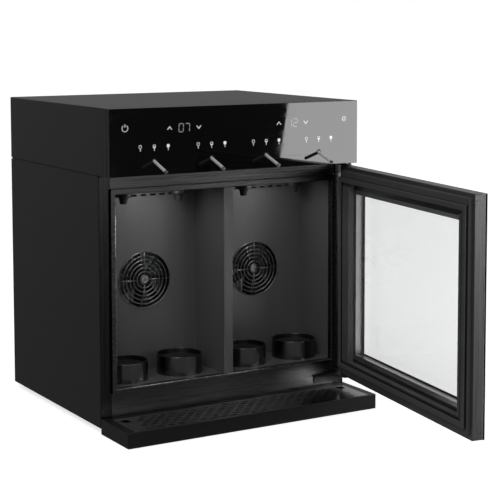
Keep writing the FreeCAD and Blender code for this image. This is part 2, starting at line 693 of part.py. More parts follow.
def hinge_bushes():
    inner = PIN_RADIUS + PIN_CLEARANCE
    upper = tube((PIN_X, PIN_Y, DOOR_TOP - 22.0), (0, 0, 1), 5.5, inner, 22.0)
    upper_flange = tube((PIN_X, PIN_Y, DOOR_TOP), (0, 0, 1), 8.0, inner, 1.0)
    lower = tube((PIN_X, PIN_Y, DOOR_BOTTOM), (0, 0, 1), 5.5, inner, 22.0)
    lower_flange = tube((PIN_X, PIN_Y, DOOR_BOTTOM - 1.0), (0, 0, 1), 8.0, inner, 1.0)
    return group([fuse(upper, upper_flange), fuse(lower, lower_flange)])


def hinge_bracket_plate(z0, inner_x):
    """A flat plate from the case front out to the pin, rounded about the pin."""
    nose = 11.0
    outline = [
        vec(PIN_X + nose, CASE_FRONT + 0.8, z0),
        vec(PIN_X + nose, PIN_Y, z0),
        vec(PIN_X - nose, PIN_Y, z0),
        vec(PIN_X - nose, CASE_FRONT - 16.0, z0),
        vec(inner_x, CASE_FRONT - 7.0, z0),
        vec(inner_x, CASE_FRONT + 0.8, z0),
    ]
    plate = Part.Face(Part.makePolygon(outline + [outline[0]])).extrude(vec(0, 0, 3.0))
    plate = fuse(plate, rod((PIN_X, PIN_Y, z0), (0, 0, 1), nose, 3.0))
    return plate.cut(rod((PIN_X, PIN_Y, z0 - 1), (0, 0, 1), PIN_RADIUS, 5.0))


def hinge_brackets():
    top_z = DOOR_TOP + 1.4
    low_z = DOOR_BOTTOM - 1.4 - 3.0
    upper = fuse(
        hinge_bracket_plate(top_z, LIP_SIDE + 2.0),
        box(LIP_SIDE + 2.0, SIDE - 4.0, CASE_FRONT - 1.5, CASE_FRONT + 0.8, top_z - 18.0, top_z + 1.0),
    )
    lower = fuse(
        hinge_bracket_plate(low_z, 200.0),
        box(200.0, SIDE - 4.0, CASE_FRONT - 1.5, CASE_FRONT + 0.8, low_z - 12.0, low_z + 2.0),
    )
    return group([upper, lower])


def hinge_pins():
    upper = rod((PIN_X, PIN_Y, DOOR_TOP - 18.0), (0, 0, 1), PIN_RADIUS, 22.4)
    upper_head = rod((PIN_X, PIN_Y, DOOR_TOP + 4.4), (0, 0, 1), 5.5, 1.6)
    lower = rod((PIN_X, PIN_Y, DOOR_BOTTOM - 4.4), (0, 0, 1), PIN_RADIUS, 22.4)
    lower_head = rod((PIN_X, PIN_Y, DOOR_BOTTOM - 6.0), (0, 0, 1), 5.5, 1.6)
    return group([fuse(upper, upper_head), fuse(lower, lower_head)])


# ---------------------------------------------------------------- drip tray
def tray_body():
    body = box(-SIDE, SIDE, TRAY_FRONT, TRAY_BACK, TRAY_FLOOR_Z, TRAY_HEIGHT)
    well = box(-GRILLE_SIDE + 4, GRILLE_SIDE - 4, GRILLE_FRONT + 2, GRILLE_BACK - 4, 3.0, TRAY_HEIGHT + 1)
    side = GRILLE_SIDE + 0.4
    ledge = box(-side, side, GRILLE_FRONT - 0.4, GRILLE_BACK + 0.4, 27.9, TRAY_HEIGHT + 1)
    hollow = box(GRILLE_SIDE - 1.5, SIDE - 2.5, TRAY_FRONT + 2.5, TRAY_BACK - 2.5, 0, 25.0)
    body = body.cut(group([well, ledge, hollow, mirrored(hollow)]))
    tongue = box(TONGUE_LEFT, TONGUE_RIGHT, TRAY_BACK - 1, TRAY_BACK + 64.0, TONGUE_BOTTOM, TONGUE_TOP)
    return fuse(body, tongue, mirrored(tongue))


def tray_grille():
    plate = box(-GRILLE_SIDE, GRILLE_SIDE, GRILLE_FRONT, GRILLE_BACK, 28.1, TRAY_HEIGHT + 0.1)
    cuts = []
    rows = 7
    for row in range(rows):
        y = GRILLE_FRONT + 11.0 + row * 12.0
        stagger = 11.0 if row % 2 else 0.0
        for number in range(-10, 11):
            x = number * 22.0 + stagger
            if abs(x) < 231.0 and not (row >= rows - 3 and abs(x) > 215.0):
                cuts.append(obround(x, y, 27.0, 15.0, 5.0, 5.0))
    cuts += [rod((x, GRILLE_BACK - 22.0, 27.0), (0, 0, 1), 9.0, 5.0) for x in (-238.0, 238.0)]
    return plate.cut(group(cuts))


def screws():
    """Pan-head screws of the two rear covers."""
    places = [(x, z) for x in (-258.0, 258.0) for z in (40.0, 240.0, 460.0, 500.0, 590.0)]
    places += [(0.0, 40.0), (0.0, 590.0)]
    heads = []
    for x, z in places:
        head = Part.makeSphere(5.0, vec(x, BACK - 3.2, z))
        head = head.common(rod((x, BACK - 0.2, z), (0, 1, 0), 4.0, 5.0))
        upright = box(x - 0.6, x + 0.6, BACK + 0.8, BACK + 4, z - 2.2, z + 2.2)
        level = box(x - 2.2, x + 2.2, BACK + 0.8, BACK + 4, z - 0.6, z + 0.6)
        heads.append(head.cut(fuse(upright, level)))
    return group(heads)


# ---------------------------------------------------------------- writing the pieces
save("side_panel_left", side_panel(-1))
save("side_panel_right", side_panel(1))
save("base_pan", base_pan())
save("feet", feet())
save("front_stiles", front_stiles())
save("front_rails", front_rails())
save("opening_lip", opening_lip())
save("wall_insulation", wall_insulation())
save("liner_floor", liner_floor())
save("liner_back", liner_back())
save("liner_panels", liner_panels())
save("divider", divider())
save("deck_plate", deck_plate())
save("fan_guards", fan_guards())
save("fan_frames", fan_frames())
save("fan_rotor_left", fan_rotor(-FAN_X, ROOM_BACK + 3.0, FAN_Z, BLADE_RADIUS, 18.0))
save("fan_rotor_right", fan_rotor(FAN_X, ROOM_BACK + 3.0, FAN_Z, BLADE_RADIUS, 18.0))
save("evaporators", evaporators())
save("lifter_cups", lifter_cups())
for index, cup_x in enumerate(CUP_X, start=1):
    save("lifter_platform_%d" % index, lifter_platform(cup_x))
    save("lifter_spring_%d" % index, lifter_spring(cup_x))
save("dispense_heads", dispense_heads())
save("bottle_seals", bottle_seals())
save("led_strips", led_strips())
save("top_cover", top_cover())
save("front_bezel", front_bezel())
save("glass_panel", glass_panel())
save("touch_board", touch_board())
save("dispensing_tubes", dispensing_tubes())
save("dispense_valves", dispense_valves())
save("gas_regulator", gas_regulator())
save("gas_inlet_fitting", gas_inlet_fitting())
save("control_board", control_board())
save("power_supply", power_supply())
save("rear_cover", rear_cover())
save("housing_rear_cover", housing_rear_cover())
save("power_inlet", power_inlet())
save("switch_rocker", switch_rocker())
save("compressor", compressor())
save("condenser", condenser())
save("condenser_fan_frame", condenser_fan_frame())
save("condenser_fan_rotor", fan_rotor(130.0, 183.0, 138.0, 56.0, 18.0))
save("door_frame", swung(door_frame()))
save("door_inner_frame", swung(door_inner_frame()))
save("door_gasket", swung(door_gasket()))
save("door_glass_outer", swung(door_glass_outer()))
save("door_glass_inner", swung(door_glass_inner()))
save("glass_spacer", swung(glass_spacer()))
save("hinge_bushes", swung(hinge_bushes()))
save("hinge_brackets", hinge_brackets())
save("hinge_pins", hinge_pins())
save("tray_body", tray_body())
save("tray_grille", tray_grille())
save("screws", screws())
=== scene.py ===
"""Countertop wine cooler and dispenser: surface detail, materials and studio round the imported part.

Every length is in metres in the part's frame: +X right, +Y back, +Z up, origin on the counter.
"""

import json
import math

import bmesh
import bpy
from mathutils import Matrix, Vector


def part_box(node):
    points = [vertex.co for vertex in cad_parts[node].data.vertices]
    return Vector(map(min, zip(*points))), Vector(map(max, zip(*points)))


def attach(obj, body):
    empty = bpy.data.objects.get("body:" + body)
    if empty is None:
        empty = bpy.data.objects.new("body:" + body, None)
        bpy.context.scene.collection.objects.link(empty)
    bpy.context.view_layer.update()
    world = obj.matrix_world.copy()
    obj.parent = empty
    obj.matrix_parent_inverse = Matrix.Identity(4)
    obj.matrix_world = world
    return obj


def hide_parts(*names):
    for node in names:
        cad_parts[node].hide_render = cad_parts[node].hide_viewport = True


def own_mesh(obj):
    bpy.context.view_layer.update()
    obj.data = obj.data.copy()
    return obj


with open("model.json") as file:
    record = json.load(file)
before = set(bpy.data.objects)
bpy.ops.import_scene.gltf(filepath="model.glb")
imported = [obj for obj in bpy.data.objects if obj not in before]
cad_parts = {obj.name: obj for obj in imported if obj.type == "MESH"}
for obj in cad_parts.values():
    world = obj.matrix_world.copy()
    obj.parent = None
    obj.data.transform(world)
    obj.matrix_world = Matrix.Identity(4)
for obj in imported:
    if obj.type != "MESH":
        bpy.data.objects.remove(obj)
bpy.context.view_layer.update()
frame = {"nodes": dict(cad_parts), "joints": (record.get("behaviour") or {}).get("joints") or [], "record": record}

# ---------------------------------------------------------------- places read from the frame
GLASS_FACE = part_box("glass_panel")[0][1]
TUBE_TIP_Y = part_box("dispensing_tubes")[0][1]
LIP_LOW, LIP_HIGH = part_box("opening_lip")
JOINTS = {joint["name"]: joint for joint in frame["joints"]}
DOOR_PIVOT = Vector(JOINTS["door_swing"]["pos_m"])
DOOR_OPEN = -math.radians(JOINTS["door_swing"]["range_deg"][0])

# ---------------------------------------------------------------- driving values
MARK_PROUD = 0.00012
MARK_THICK = 0.00008
MARK_STROKE = 0.0011
POWER_PLACE = (-0.238, 0.570)
LAMP_PLACE = (0.238, 0.571)
DISPLAY_Z = 0.567
DISPLAYS = (("left", -0.117, "07"), ("right", 0.1185, "12"))
DIGIT_OFFSET = 0.0065
ARROW_OFFSET = 0.0304
SERVING_Z = 0.5320
SERVING_SPACING = 0.0285

TUBE_X = (-0.179, -0.0595, 0.0595, 0.179)
TUBE_ROOT_Z = 0.5075
TUBE_DROP = 0.016
TUBE_REACH = 0.047
TUBE_RADIUS = 0.003
TUBE_BORE = 0.002
TUBE_SLOPE = math.atan(TUBE_DROP / TUBE_REACH)
MOUTH_SETBACK = 0.0010
BUSH_RAISE = 0.0008

FAN_X = 0.124
FAN_Z = 0.260
GUARD_Y = -0.0814
GUARD_WIRE = 0.0011
GUARD_RINGS = 6
GUARD_INNER_RING = 0.0160
GUARD_RING_SPACING = 0.0078
SPOKE_RADII = (0.009, 0.030, 0.0565)
WIRE_BEHIND = 0.0004
CAP_FORWARD = 0.0004

SPRING_RADIUS = 0.011
SPRING_WIRE = 0.0008
SPRING_TURNS = 5
SPRING_STEPS = 100

OPENING_SIDE = 0.238
OPENING_BOTTOM = 0.082
OPENING_TOP = 0.445
# a thin bright rod round the opening paints the highlight on the edge of the lip
HIGHLIGHT_ROD_RADIUS = 0.0004
HIGHLIGHT_ROD_CLEAR = 0.0006

SEAL_BASE_Y = -0.2010
SEAL_OVERLAP = 0.0005
PRINT_THICK = 0.00004
PANE = (-0.229, 0.209, 0.085, 0.449)
PRINTS = (
    ("print_inner", -0.21326, (-0.2135, 0.1990, 0.1045, 0.4280)),
    ("print_outer", -0.22896, (-0.1800, 0.1913, 0.1075, 0.4207)),
)

CAMERA_PLACE = (-1.40465, -2.65426, 0.77209)
CAMERA_YAW = math.radians(31.532)
CAMERA_PITCH = math.radians(5.153)
LIGHT_AIM = (0, 0, 0.3)
STRIP_PLACE = (-0.165, 0.442)
STRIP_AIM = (-0.10, 0.2)

WHITE = (0.80, 0.80, 0.78)
DIM_WHITE = (0.26, 0.27, 0.27)
DOOR_GREY = (0.21, 0.21, 0.213)
DOOR_BARS = (0.084, 0.450)
EDGE_SEGMENTS = 2
SOFT_EDGES = {
    "side_panel_left": 0.0005,
    "side_panel_right": 0.0005,
    "top_cover": 0.0005,
    "front_stiles": 0.0004,
    "front_rails": 0.0004,
    "front_bezel": 0.0004,
    "glass_panel": 0.0003,
    "door_frame": 0.0006,
    "door_inner_frame": 0.0010,
    "tray_body": 0.0008,
    "divider": 0.0003,
    "hinge_brackets": 0.0004,
}


# ---------------------------------------------------------------- mesh helpers
def mesh_object(name, verts, faces, smooth=False):
    mesh = bpy.data.meshes.new(name)
    mesh.from_pydata([tuple(v) for v in verts], [], faces)
    mesh.validate()
    work = bmesh.new()
    work.from_mesh(mesh)
    bmesh.ops.recalc_face_normals(work, faces=work.faces)
    work.to_mesh(mesh)
    work.free()
    for polygon in mesh.polygons:
        polygon.use_smooth = smooth
    made = bpy.data.objects.new(name, mesh)
    bpy.context.scene.collection.objects.link(made)
    return made


def lathe(profile, centre, axis, segments=48):
    """Vertices and faces of a closed profile, (radius, height) pairs, swept round axis at centre."""
    spin = Vector((0, 0, 1)).rotation_difference(Vector(axis)).to_matrix()
    centre = Vector(centre)
    verts = []
    faces = []
    count = len(profile)
    for step in range(segments):
        angle = 2 * math.pi * step / segments
        for radius, height in profile:
            offset = Vector((radius * math.cos(angle), radius * math.sin(angle), height))
            verts.append(centre + spin @ offset)
    for step in range(segments):
        here = step * count
        there = ((step + 1) % segments) * count
        for corner in range(count):
            after = (corner + 1) % count
            faces.append((here + corner, here + after, there + after, there + corner))
    return verts, faces


def swept_loop(rings):
    """Joins closed rings of points, each to the next and the last to the first."""
    count = len(rings[0])
    verts = [v for ring in rings for v in ring]
    faces = []
    for index in range(len(rings)):
        here = index * count
        there = ((index + 1) % len(rings)) * count
        for corner in range(count):
            after = (corner + 1) % count
            faces.append((here + corner, here + after, there + after, there + corner))
    return verts, faces


def merged(parts):
    """Joins several (vertices, faces) pairs into one."""
    verts = []
    faces = []
    for part_verts, part_faces in parts:
        base = len(verts)
        verts.extend(part_verts)
        faces.extend(tuple(base + corner for corner in face) for face in part_faces)
    return verts, faces


def torus(centre, axis, radius, wire, segments=64, sides=12):
    ring = [
        (radius + wire * math.cos(2 * math.pi * k / sides), wire * math.sin(2 * math.pi * k / sides))
        for k in range(sides)
    ]
    return lathe(ring, centre, axis, segments)


def wire_run(points, wire, sides=10):
    """A round wire along an open line of points, closed at both ends."""
    points = [Vector(p) for p in points]
    verts = []
    faces = []
    for index, point in enumerate(points):
        ahead = points[min(index + 1, len(points) - 1)]
        behind = points[max(index - 1, 0)]
        spin = Vector((0, 0, 1)).rotation_difference((ahead - behind).normalized()).to_matrix()
        for k in range(sides):
            angle = 2 * math.pi * k / sides
            verts.append(point + spin @ Vector((wire * math.cos(angle), wire * math.sin(angle), 0)))
    for index in range(len(points) - 1):
        for k in range(sides):
            after = (k + 1) % sides
            here = index * sides
            faces.append((here + k, here + after, here + sides + after, here + sides + k))
    faces.append(tuple(range(sides)))
    faces.append(tuple(range(len(verts) - sides, len(verts))))
    return verts, faces


def to_open_door(point):
    """Carries a point of the closed door to the stored open angle about the hinge."""
    arm = Vector(point) - DOOR_PIVOT
    return DOOR_PIVOT + Matrix.Rotation(DOOR_OPEN, 3, "Z") @ arm


# ---------------------------------------------------------------- material helpers
class Recipe:
    """One node material. Colour, roughness and bump come from procedural nodes."""

    def __init__(self, name):
        self.material = bpy.data.materials.new(name)
        self.material.use_nodes = True
        self.tree = self.material.node_tree
        self.shader = self.tree.nodes["Principled BSDF"]
        self.coords = self.tree.nodes.new("ShaderNodeTexCoord").outputs["Object"]
        self.height = None

    def set(self, **values):
        for key, value in values.items():
            self.shader.inputs[key.replace("_", " ")].default_value = value

    def link(self, source, target):
        self.tree.links.new(source, target)

    def mapped(self, scale=(1, 1, 1), turn=0.0):
        mapping = self.tree.nodes.new("ShaderNodeMapping")
        turned = self.coords
        if turn:
            spin = self.tree.nodes.new("ShaderNodeMapping")
            spin.inputs["Rotation"].default_value = (0, 0, -turn)
            self.link(turned, spin.inputs["Vector"])
            turned = spin.outputs["Vector"]
        mapping.inputs["Scale"].default_value = scale
        self.link(turned, mapping.inputs["Vector"])
        return mapping.outputs["Vector"]

    def noise(self, scale=(1, 1, 1), detail=3.0, roughness=0.6, turn=0.0):
        texture = self.tree.nodes.new("ShaderNodeTexNoise")
        texture.inputs["Scale"].default_value = 1.0
        texture.inputs["Detail"].default_value = detail
        texture.inputs["Roughness"].default_value = roughness
        self.link(self.mapped(scale, turn), texture.inputs["Vector"])
        return texture.outputs["Fac"]

    def cells(self, scale=(1, 1, 1), feature="F1"):
        texture = self.tree.nodes.new("ShaderNodeTexVoronoi")
        texture.feature = feature
        texture.inputs["Scale"].default_value = 1.0
        self.link(self.mapped(scale), texture.inputs["Vector"])
        return texture.outputs["Distance"]

    def spread(self, value, low, high, start=0.3, end=0.7):
        """Maps the middle of a noise to low..high."""
        node = self.tree.nodes.new("ShaderNodeMapRange")
        node.inputs["From Min"].default_value = start
        node.inputs["From Max"].default_value = end
        node.inputs["To Min"].default_value = low
        node.inputs["To Max"].default_value = high
        self.link(value, node.inputs["Value"])
        return node.outputs["Result"]

    def ramp(self, value, *stops):
        node = self.tree.nodes.new("ShaderNodeValToRGB")
        ramp = node.color_ramp
        while len(ramp.elements) < len(stops):
            ramp.elements.new(0.5)
        for element, (place, colour) in zip(ramp.elements, stops):
            element.position = place
            element.color = tuple(colour[:3]) + (1.0,)
        self.link(value, node.inputs["Fac"])
        return node.outputs["Color"]

    def math(self, operation, first, second):
        node = self.tree.nodes.new("ShaderNodeMath")
        node.operation = operation
        for socket, value in zip(node.inputs, (first, second)):
            if isinstance(value, (int, float)):
                socket.default_value = value
            else:
                self.link(value, socket)
        return node.outputs["Value"]

    def choose(self, factor, first, second):
        """Mixes two values by factor."""
        node = self.tree.nodes.new("ShaderNodeMix")
        node.data_type = "FLOAT"
        self.link(factor, node.inputs[0])
        self.link(first, node.inputs[2])
        self.link(second, node.inputs[3])
        return node.outputs[0]

    def axis(self, letter, turn=0.0):
        node = self.tree.nodes.new("ShaderNodeSeparateXYZ")
        self.link(self.mapped((1, 1, 1), turn), node.inputs["Vector"])
        return node.outputs[letter]

    def colour(self, source):
        self.link(source, self.shader.inputs["Base Color"])

    def rough(self, source):
        self.link(source, self.shader.inputs["Roughness"])

    def bump(self, source, strength, distance):
        node = self.tree.nodes.new("ShaderNodeBump")
        node.inputs["Strength"].default_value = strength
        node.inputs["Distance"].default_value = distance
        self.link(source, node.inputs["Height"])
        if self.height:
            self.link(self.height, node.inputs["Normal"])
        self.height = node.outputs["Normal"]
        self.link(self.height, self.shader.inputs["Normal"])


def shade(colour, factor):
    return tuple(min(1.0, channel * factor) for channel in colour[:3])


def painted(name, colour, roughness=0.4, specular=0.4, peel=0.25):
    """Sheet metal under satin paint: faint orange peel and slight differences of tone and gloss."""
    made = Recipe(name)
    made.set(Metallic=0.0, Specular_IOR_Level=specular)
    cloud = made.noise((9, 9, 9), 4.0)
    made.colour(made.ramp(cloud, (0.25, shade(colour, 0.92)), (0.75, shade(colour, 1.08))))
    made.rough(made.spread(made.noise((38, 38, 38), 5.0), roughness - 0.012, roughness + 0.015))
    made.bump(made.noise((900, 900, 900), 2.0), peel, 0.0001)
    return made.material


def streaks(made, along, turn=0.0):
    """Noise drawn out along one axis, as brushing leaves it: fine lines over broader bands."""
    fine = [1500, 1500, 1500]
    fine["XYZ".index(along)] = 7
    broad = [260, 260, 260]
    broad["XYZ".index(along)] = 3
    thin = made.math("MULTIPLY", made.noise(fine, 2.0, 0.6, turn), 0.55)
    wide = made.math("MULTIPLY", made.noise(broad, 3.0, 0.6, turn), 0.45)
    return made.math("ADD", thin, wide)


def brushed(name, colour, along, roughness, contrast=0.22, turn=0.0, bars=None, metallic=1.0):
    """Brushed sheet. bars, (low, high) heights, turns the grain level above and below a window."""
    made = Recipe(name)
    made.set(Metallic=metallic, Specular_IOR_Level=0.4)
    grain = streaks(made, along, turn)
    if bars:
        height = made.axis("Z")
        above = made.math("GREATER_THAN", height, bars[1])
        below = made.math("LESS_THAN", height, bars[0])
        level = made.math("MAXIMUM", above, below)
        grain = made.choose(level, grain, streaks(made, "X", turn))
    dark, light = shade(colour, 1 - contrast), shade(colour, 1 + contrast)
    made.colour(made.ramp(grain, (0.36, dark), (0.64, light)))
    made.rough(made.spread(grain, roughness - 0.05, roughness + 0.07, 0.35, 0.65))
    made.bump(grain, 0.25, 0.00008)
    return made.material


def moulded(name, colour, roughness=0.5, specular=0.4, texture=0.35):
    """Injection-moulded plastic with a spark-eroded grain."""
    made = Recipe(name)
    made.set(Specular_IOR_Level=specular)
    cloud = made.noise((14, 14, 14), 3.0)
    made.colour(made.ramp(cloud, (0.3, shade(colour, 0.9)), (0.7, shade(colour, 1.1))))
    grain = made.noise((1400, 1400, 1400), 3.0, 0.7)
    made.rough(made.spread(grain, roughness - 0.06, roughness + 0.08))
    made.bump(grain, texture, 0.00008)
    return made.material


def rubber(name, colour, roughness=0.72):
    made = Recipe(name)
    made.set(Specular_IOR_Level=0.3)
    dust = made.noise((60, 60, 60), 5.0, 0.7)
    made.colour(made.ramp(dust, (0.3, shade(colour, 0.85)), (0.72, shade(colour, 1.35))))
    made.rough(made.spread(dust, roughness - 0.08, roughness + 0.08))
    made.bump(made.cells((1100, 1100, 1100)), 0.3, 0.0001)
    return made.material


def turned_metal(name, colour, roughness=0.22):
    """Turned or drawn metal, with faint rings and small scratches."""
    made = Recipe(name)
    made.set(Metallic=1.0)
    rings = made.noise((1100, 1100, 1100), 2.0)
    made.colour(made.ramp(rings, (0.3, shade(colour, 0.85)), (0.7, shade(colour, 1.1))))
    made.rough(made.spread(made.noise((120, 120, 120), 4.0), roughness - 0.06, roughness + 0.1))
    made.bump(rings, 0.12, 0.00005)
    return made.material


def black_glass():
    """Back-painted black glass; fingertips leave soft patches that only show in the gloss."""
    made = Recipe("black_glass")
    made.set(Specular_IOR_Level=0.5, IOR=1.5)
    tint = made.noise((5, 5, 5), 2.0)
    made.colour(made.ramp(tint, (0.3, (0.0022, 0.0022, 0.0026)), (0.7, (0.0034, 0.0034, 0.0038))))
    smear = made.noise((22, 22, 60), 5.0, 0.65)
    made.rough(made.spread(smear, 0.02, 0.075, 0.45, 0.8))
    return made.material


def clear_glass():
    made = Recipe("door_glass")
    made.set(Transmission_Weight=1.0, IOR=1.45, Specular_IOR_Level=0.5)
    tint = made.noise((4, 4, 4), 2.0)
    made.colour(made.ramp(tint, (0.2, (0.982, 0.988, 0.986)), (0.8, (0.988, 0.993, 0.991))))
    smear = made.noise((30, 30, 30), 5.0, 0.65)
    made.rough(made.spread(smear, 0.0, 0.012, 0.5, 0.85))
    return made.material


def foam():
    """Cell foam as it shows in the dark behind the vent slots."""
    made = Recipe("foam")
    bubbles = made.cells((420, 420, 420))
    made.colour(made.ramp(bubbles, (0.1, (0.010, 0.010, 0.010)), (0.7, (0.026, 0.026, 0.026))))
    made.rough(made.spread(bubbles, 0.8, 0.95, 0.0, 0.8))
    made.bump(bubbles, 0.8, 0.0006)
    return made.material


def circuit_board():
    made = Recipe("circuit_board")
    traces = made.cells((160, 160, 30), "DISTANCE_TO_EDGE")
    made.colour(made.ramp(traces, (0.03, (0.10, 0.34, 0.14)), (0.06, (0.012, 0.10, 0.04))))
    made.rough(made.spread(made.noise((200, 200, 200)), 0.3, 0.5))
    made.bump(traces, 0.3, 0.0001)
    return made.material


def light_cover():
    """A milky cover with the dots of its lamps showing through."""
    made = Recipe("led_cover")
    wave = made.tree.nodes.new("ShaderNodeTexWave")
    wave.wave_type = "BANDS"
    wave.bands_direction = "X"
    wave.inputs["Scale"].default_value = 16.0
    made.link(made.mapped(), wave.inputs["Vector"])
    glow = made.ramp(wave.outputs["Fac"], (0.2, (0.50, 0.50, 0.49)), (0.9, (0.72, 0.72, 0.71)))
    made.colour(glow)
    made.link(glow, made.shader.inputs["Emission Color"])
    made.set(Emission_Strength=0.3, Roughness=0.4)
    made.bump(made.noise((900, 900, 900)), 0.2, 0.00005)
    return made.material


def lit_mark(name, colour, strength):
    """Marks lit through the panel: they glow unevenly and are as glossy as the glass."""
    made = Recipe(name)
    uneven = made.noise((160, 160, 160), 2.0)
    glow = made.ramp(uneven, (0.3, shade(colour, 0.85)), (0.7, colour))
    made.link(glow, made.shader.inputs["Emission Color"])
    made.set(Base_Color=(0.003, 0.003, 0.003, 1.0), Emission_Strength=strength, IOR=1.5)
    made.rough(made.spread(uneven, 0.03, 0.06))
    return made.material


MATERIALS = {
    "side_paint": painted("side_paint", (0.0110, 0.0110, 0.0114), 0.42, 0.38),
    "top_paint": painted("top_paint", (0.008, 0.008, 0.0085), 0.36, 0.36),
    "rear_paint": painted("rear_paint", (0.010, 0.010, 0.010), 0.5, 0.35, 0.5),
    "bracket_paint": painted("bracket_paint", (0.016, 0.016, 0.016), 0.38, 0.4),
    "foot_rubber": rubber("foot_rubber", (0.02, 0.02, 0.02)),
    "front_steel": brushed("front_steel", (0.085, 0.085, 0.087), "X", 0.28, 0.16),
    "stile_steel": brushed("stile_steel", (0.038, 0.038, 0.039), "Z", 0.24, 0.2),
    "foam": foam(),
    "liner_steel": brushed("liner_steel", (0.125, 0.125, 0.128), "Z", 0.34, 0.06, metallic=0.3),
    "guard_wire": turned_metal("guard_wire", (0.24, 0.24, 0.245), 0.3),
    "fan_plastic": moulded("fan_plastic", (0.006, 0.006, 0.0065), 0.5),
    "cold_aluminium": brushed("cold_aluminium", (0.72, 0.73, 0.74), "Z", 0.35),
    "cup_steel": brushed("cup_steel", (0.15, 0.15, 0.152), "Z", 0.20, 0.06),
    "platform_plastic": moulded("platform_plastic", (0.014, 0.014, 0.015), 0.55),
    "spring_wire": turned_metal("spring_wire", (0.58, 0.58, 0.59)),
    "head_plastic": moulded("head_plastic", (0.010, 0.010, 0.0105), 0.45),
    "seal_rubber": rubber("seal_rubber", (0.014, 0.014, 0.014)),
    "led_cover": light_cover(),
    "bezel_plastic": moulded("bezel_plastic", (0.012, 0.012, 0.012), 0.38, 0.4, 0.2),
    "black_glass": black_glass(),
    "board_green": circuit_board(),
    "tube_steel": brushed("tube_steel", (0.70, 0.70, 0.70), "Y", 0.40, 0.1, metallic=0.2),
    "valve_brass": turned_metal("valve_brass", (0.68, 0.49, 0.20), 0.3),
    "regulator_metal": turned_metal("regulator_metal", (0.60, 0.61, 0.62), 0.3),
    "supply_case": brushed("supply_case", (0.60, 0.61, 0.62), "X", 0.38),
    "inlet_plastic": moulded("inlet_plastic", (0.012, 0.012, 0.012), 0.42),
    "rocker_plastic": moulded("rocker_plastic", (0.018, 0.018, 0.018), 0.28, 0.5, 0.1),
    "compressor_paint": painted("compressor_paint", (0.010, 0.010, 0.010), 0.28, 0.5, 0.4),
    "door_steel": brushed("door_steel", DOOR_GREY, "Z", 0.30, 0.22, DOOR_OPEN, DOOR_BARS, 0.8),
    "door_plastic": moulded("door_plastic", (0.080, 0.080, 0.079), 0.38, 0.4, 0.12),
    "gasket_rubber": rubber("gasket_rubber", (0.006, 0.006, 0.006), 0.65),
    "door_glass": clear_glass(),
    "spacer_metal": brushed("spacer_metal", (0.42, 0.42, 0.42), "Z", 0.38, 0.08, DOOR_OPEN),
    "bush_nylon": moulded("bush_nylon", (0.020, 0.020, 0.020), 0.45),
    "pin_steel": turned_metal("pin_steel", (0.30, 0.30, 0.305), 0.25),
    "tray_plastic": moulded("tray_plastic", (0.0055, 0.0055, 0.0057), 0.36, 0.4, 0.25),
    "grille_steel": brushed("grille_steel", (0.46, 0.46, 0.465), "X", 0.17, 0.10),
}
MARK_LIGHT = lit_mark("mark_light", WHITE, 1.0)
DISPLAY_LIGHT = lit_mark("display_light", DIM_WHITE, 1.1)
TIP_STEEL = turned_metal("tip_steel", (0.30, 0.30, 0.305), 0.2)
# bright steel for the rod that paints the highlight along the edge of the opening
HIGHLIGHT_ROD_STEEL = turned_metal("highlight_rod_steel", (0.70, 0.70, 0.71), 0.25)
GLASS_PRINT = moulded("glass_print", (0.003, 0.003, 0.003), 0.3, 0.3, 0.1)


def dress(obj, material):
    obj.data.materials.clear()
    obj.data.materials.append(material)


def soften_edges(name, width):
    """Breaks the sharp sheet edges of a CAD piece, so that they catch the light."""
    obj = frame["nodes"][name]
    weld = obj.modifiers.new("weld", "WELD")
    weld.merge_threshold = 0.00001
    bevel = obj.modifiers.new("edges", "BEVEL")
    bevel.width = width
    bevel.segments = EDGE_SEGMENTS
    bevel.limit_method = "ANGLE"
    bevel.angle_limit = math.radians(40)
    bevel.harden_normals = True


def dress_cad_nodes():
    for subpart in frame["record"]["subparts"]:
        node = frame["nodes"][subpart["node"]]
        dress(node, MATERIALS[subpart["material_slot"]])
    for name, width in SOFT_EDGES.items():
        soften_edges(name, width)


# ---------------------------------------------------------------- marks on the glass panel
def stroke(points, width=MARK_STROKE, closed=False):
    """A flat band of even width along points (x, z) on the glass, with square joints."""
    flat = [Vector(p) for p in points]
    count = len(flat)
    left = []
    right = []
    for index, point in enumerate(flat):
        before = flat[index - 1] if closed or index else None
        after = flat[(index + 1) % count] if closed or index < count - 1 else None
        into = (point - before).normalized() if before is not None else (after - point).normalized()
        out = (after - point).normalized() if after is not None else into
        normal = Vector((-(into + out).y, (into + out).x)).normalized()
        reach = width / 2 / max(0.4, normal.dot(Vector((-into.y, into.x))))
        left.append(point + normal * reach)
        right.append(point - normal * reach)
    verts = [on_glass(p) for p in left + right]
    spans = count if closed else count - 1
    faces = []
    for index in range(spans):
        after = (index + 1) % count
        faces.append((index, after, count + after, count + index))
    return verts, faces


def on_glass(point):
    return Vector((point[0], GLASS_FACE - MARK_PROUD, point[1]))


def arc_points(centre, radius, start, end, steps=20):
    """Points of an arc, angles in degrees, measured from the right."""
    found = []
    for step in range(steps + 1):
        angle = math.radians(start + (end - start) * step / steps)
        found.append((centre[0] + radius * math.cos(angle), centre[1] + radius * math.sin(angle)))
    return found


def plate(points):
    """A flat filled outline on the glass."""
    return [on_glass(p) for p in points], [tuple(range(len(points)))]


def place_mark(name, parts, light=MARK_LIGHT):
    verts, faces = merged(parts)
    mark = mesh_object(name, verts, faces)
    solid = mark.modifiers.new("thick", "SOLIDIFY")
    solid.thickness = MARK_THICK
    dress(mark, light)
    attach(mark, "cabinet")
    return mark


def power_mark():
    x, z = POWER_PLACE
    ring = stroke(arc_points((x, z), 0.0059, 125, 415, 32), 0.0010)
    bar = stroke([(x, z + 0.0078), (x, z + 0.0014)], 0.0010)
    place_mark("mark_power", [ring, bar])


